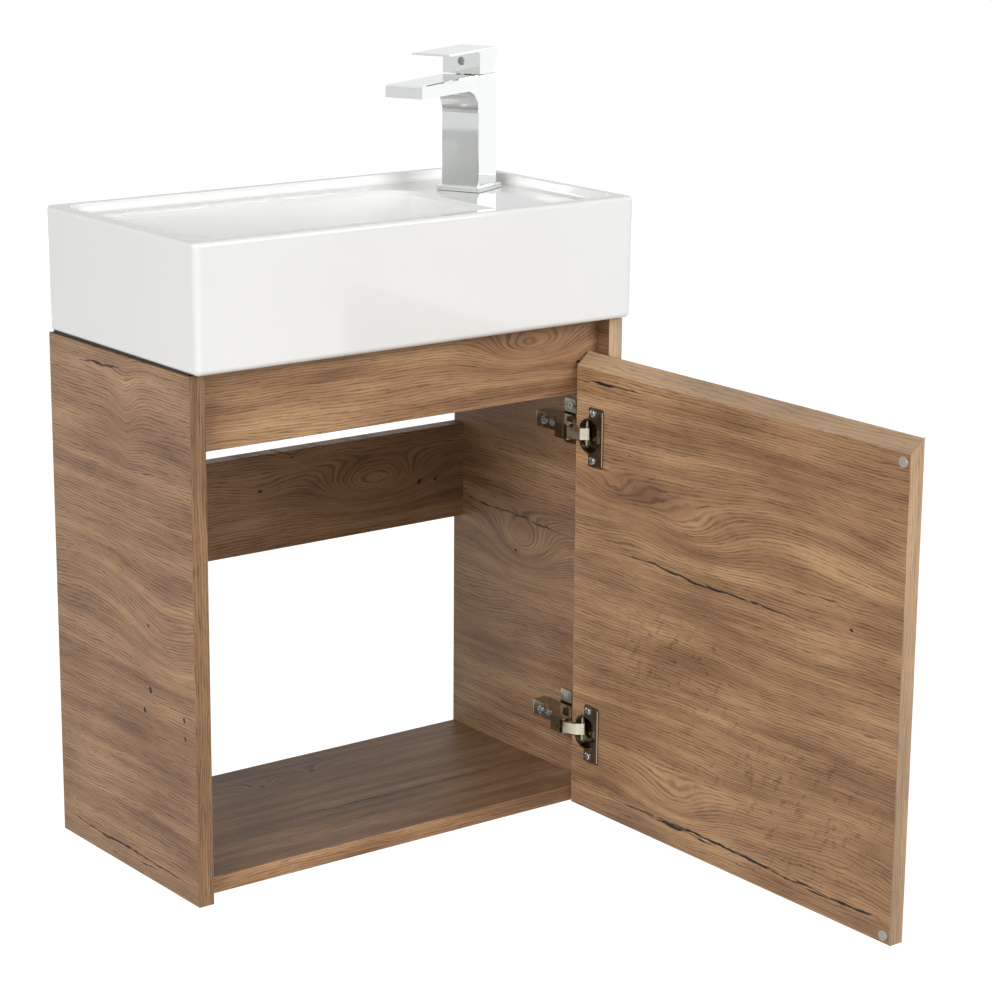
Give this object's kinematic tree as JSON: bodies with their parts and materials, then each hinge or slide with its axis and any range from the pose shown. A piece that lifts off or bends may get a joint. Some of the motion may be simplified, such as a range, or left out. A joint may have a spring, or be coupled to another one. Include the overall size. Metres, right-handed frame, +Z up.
{
  "type": "wall-hung vanity unit",
  "caption": "Wall-hung wooden vanity cabinet with a hinged door, a rectangular ceramic basin with an offset bowl, and a single-lever mixer tap.",
  "frame": {"origin": "on the wall plane, midway between the seats of the two wall screws", "axes": "+X to the right along the wall seen from the front, -Y out of the wall towards the user, +Z up"},
  "size_m": [0.5, 0.7026, 0.7572],
  "materials": {
    "oak_board": "oak-decor laminate, satin",
    "edge_band": "oak-decor edge band, satin",
    "dowel": "plain beech",
    "ceramic": "white glaze",
    "silicone": "dark silicone",
    "chrome": "polished chrome plate",
    "brass": "plain brass",
    "rubber": "black rubber",
    "cartridge_plastic": "blue plastic",
    "aerator_plastic": "grey plastic",
    "nickel_steel": "nickel-plated steel",
    "zinc_steel": "zinc-plated steel",
    "clear_buffer": "clear soft buffer"
  },
  "bodies": {
    "cabinet": {"side_panel_left": "oak_board", "side_panel_right": "oak_board", "side_band_left": "edge_band", "side_band_right": "edge_band", "bottom_panel": "oak_board", "bottom_band": "edge_band", "front_rail": "oak_board", "front_rail_band": "edge_band", "rear_rail": "oak_board", "dowels_left": "dowel", "dowels_right": "dowel", "hanger_plate_left": "zinc_steel", "hanger_plate_right": "zinc_steel", "hanger_screws_left": "zinc_steel", "hanger_screws_right": "zinc_steel", "basin": "ceramic", "basin_bead_left": "silicone", "basin_bead_right": "silicone", "waste_body": "chrome", "waste_top_gasket": "rubber", "waste_under_gasket": "rubber", "waste_nut": "brass", "tap_base_gasket": "rubber", "tap_base_plate": "chrome", "tap_body": "chrome", "tap_aerator": "aerator_plastic", "tap_cartridge": "cartridge_plastic", "tap_cartridge_nut": "brass", "tap_stud": "zinc_steel", "tap_clamp_gasket": "rubber", "tap_clamp_plate": "zinc_steel", "tap_clamp_nut": "brass", "hinge_plate_upper": "nickel_steel", "hinge_plate_lower": "nickel_steel", "hinge_plate_screws_upper": "zinc_steel", "hinge_plate_screws_lower": "zinc_steel", "hinge_arm_upper": "nickel_steel", "hinge_arm_lower": "nickel_steel", "hinge_adjusters_upper": "zinc_steel", "hinge_adjusters_lower": "zinc_steel", "hinge_arm_pins": "nickel_steel"},
    "hinge_links": {"hinge_link_upper": "nickel_steel", "hinge_link_lower": "nickel_steel"},
    "door": {"door_panel": "oak_board", "door_band_hinge": "edge_band", "door_band_free": "edge_band", "door_band_bottom": "edge_band", "door_bumpers": "clear_buffer", "hinge_cup_upper": "nickel_steel", "hinge_cup_lower": "nickel_steel", "hinge_cup_screws_upper": "zinc_steel", "hinge_cup_screws_lower": "zinc_steel", "hinge_cup_pins": "nickel_steel"},
    "tap_spindle": {"tap_spindle": "brass"},
    "tap_handle": {"tap_handle": "chrome", "tap_handle_plug": "chrome"},
    "waste_plug": {"waste_plug": "chrome"}
  },
  "joints": [
    {"name": "link_swing", "type": "hinge", "parent": "cabinet", "child": "hinge_links", "pos_m": [0.2012, -0.2329, -0.06695], "axis": [0, 0, 1], "range_deg": [-1.65, 34.03]},
    {"name": "door_swing", "type": "hinge", "parent": "hinge_links", "child": "door", "pos_m": [0.20888, -0.25316, -0.06695], "axis": [0, 0, 1], "range_deg": [-124.02, 6]},
    {"name": "tap_turn", "type": "hinge", "parent": "cabinet", "child": "tap_spindle", "pos_m": [0.1852, -0.087, 0.4282], "axis": [0, 0, 1], "range_deg": [-45, 45]},
    {"name": "tap_lift", "type": "hinge", "parent": "tap_spindle", "child": "tap_handle", "pos_m": [0.19239, -0.08349, 0.4342], "axis": [-0.4384, 0.8988, 0], "range_deg": [0, 22]},
    {"name": "waste_push", "type": "slide", "parent": "cabinet", "child": "waste_plug", "axis": [0, 0, 1], "range_m": [-0.0075, 0]}
  ],
  "couplings": [
    {"joint": "link_swing", "follows": "door_swing", "ratio": -0.27431}
  ]
}
